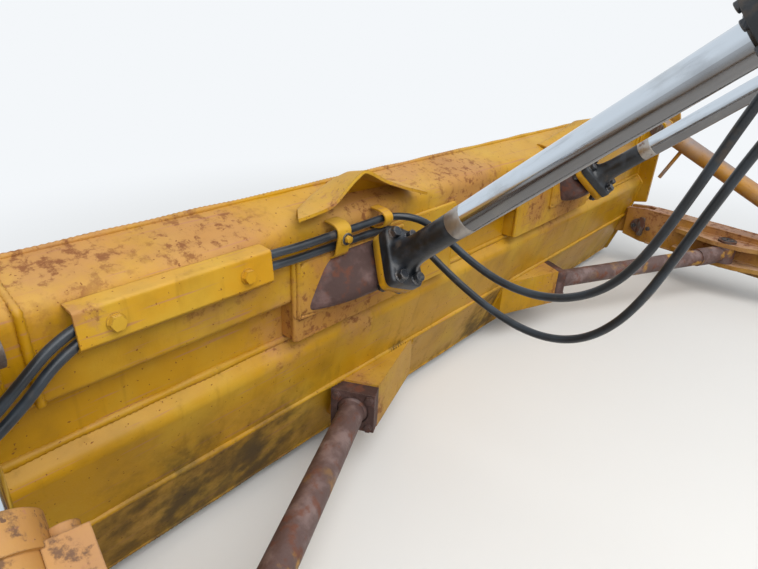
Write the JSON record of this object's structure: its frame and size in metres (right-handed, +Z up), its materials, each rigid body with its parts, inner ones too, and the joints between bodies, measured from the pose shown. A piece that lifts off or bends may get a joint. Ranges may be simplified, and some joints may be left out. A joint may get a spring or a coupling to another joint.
{
  "type": "bulldozer blade assembly",
  "caption": "Straight bulldozer blade on push arms, with diagonal braces, lift cylinders, a tilt cylinder and its hoses, as one mounted unit.",
  "frame": {"origin": "centre of the left trunnion's mounting face, where the assembly is bolted to the machine", "axes": "+X to the machine's left side, +Y to the rear, +Z up; the cutting edge rests at Z -0.21 m"},
  "size_m": [4.024, 2.5088, 2.3016],
  "materials": {
    "black_paint": "worn black enamel, dusty",
    "chrome_rod": "hard chrome",
    "dark_steel": "dark rusty steel with dried soil",
    "hose_rubber": "smooth black hose cover",
    "plated_fitting": "plated steel, dull",
    "worn_steel": "bare steel polished by soil",
    "yellow_paint": "worn yellow enamel with dust and rust at the edges"
  },
  "bodies": {
    "frame_mounts": {"trunnion_left": "dark_steel", "trunnion_right": "dark_steel", "lift_yoke_left": "yellow_paint", "lift_yoke_right": "yellow_paint", "hose_fittings": "plated_fitting"},
    "blade_frame": {"arm_lug_left": "dark_steel", "arm_lug_right": "dark_steel", "arm_pin_left": "dark_steel", "arm_pin_right": "dark_steel", "bevel_plate": "yellow_paint", "brace_bracket_left": "yellow_paint", "brace_bracket_right": "yellow_paint", "brace_cap_left": "dark_steel", "brace_cap_right": "dark_steel", "brace_left": "black_paint", "brace_pin_left": "dark_steel", "brace_pin_right": "dark_steel", "brace_right": "black_paint", "cutting_edge": "worn_steel", "end_bit_left": "worn_steel", "end_bit_right": "worn_steel", "end_plate_left": "yellow_paint", "end_plate_right": "yellow_paint", "hose_clamps": "dark_steel", "hose_guard": "yellow_paint", "hose_lower": "hose_rubber", "hose_upper": "hose_rubber", "lift_ball_left": "yellow_paint", "lift_ball_right": "yellow_paint", "lift_pad_left": "yellow_paint", "lift_pad_right": "yellow_paint", "link_lug_left": "dark_steel", "link_lug_right": "dark_steel", "link_pins_left": "dark_steel", "link_pins_right": "dark_steel", "lower_box": "yellow_paint", "mouldboard": "yellow_paint", "push_arm_left": "yellow_paint", "push_arm_right": "yellow_paint", "recess_plate": "yellow_paint", "rod_guard_left": "yellow_paint", "rod_guard_right": "yellow_paint", "strut_right": "yellow_paint", "tilt_barrel": "yellow_paint", "tilt_port_block": "yellow_paint", "tilt_rod": "chrome_rod", "toe_bar": "yellow_paint", "trunnion_cap_left": "yellow_paint", "trunnion_cap_right": "yellow_paint", "upper_box": "yellow_paint"},
    "lift_rod_left": {"lift_rod_left": "chrome_rod", "rod_socket_left": "black_paint", "rod_cap_left": "yellow_paint"},
    "lift_barrel_left": {"lift_barrel_left": "yellow_paint", "lift_gland_left": "yellow_paint"},
    "lift_rod_right": {"lift_rod_right": "chrome_rod", "rod_socket_right": "black_paint", "rod_cap_right": "yellow_paint"},
    "lift_barrel_right": {"lift_barrel_right": "yellow_paint", "lift_gland_right": "yellow_paint"}
  },
  "joints": [
    {"name": "blade_lift", "type": "hinge", "parent": "frame_mounts", "child": "blade_frame", "pos_m": [0.28, 0, 0], "axis": [-1, 0, 0], "range_deg": [-9, 24], "deforming": ["hose_upper", "hose_lower"]},
    {"name": "lift_rod_swing_left", "type": "hinge", "parent": "blade_frame", "child": "lift_rod_left", "pos_m": [-0.945, -1.996, 0.591], "axis": [1, 0, 0], "range_deg": [-3.53, 9.32]},
    {"name": "lift_barrel_slide_left", "type": "slide", "parent": "lift_rod_left", "child": "lift_barrel_left", "axis": [0, 0.7547, 0.6561], "range_m": [-0.76, 0.2856]},
    {"name": "lift_rod_swing_right", "type": "hinge", "parent": "blade_frame", "child": "lift_rod_right", "pos_m": [-2.355, -1.996, 0.591], "axis": [1, 0, 0], "range_deg": [-3.53, 9.32]},
    {"name": "lift_barrel_slide_right", "type": "slide", "parent": "lift_rod_right", "child": "lift_barrel_right", "axis": [0, 0.7547, 0.6561], "range_m": [-0.76, 0.2856]}
  ],
  "couplings": [
    {"joint": "lift_rod_swing_left", "follows": "blade_lift", "ratio": 0.3863},
    {"joint": "lift_barrel_slide_left", "follows": "blade_lift", "m_per_rad": -1.812},
    {"joint": "lift_rod_swing_right", "follows": "blade_lift", "ratio": 0.3863},
    {"joint": "lift_barrel_slide_right", "follows": "blade_lift", "m_per_rad": -1.812}
  ]
}
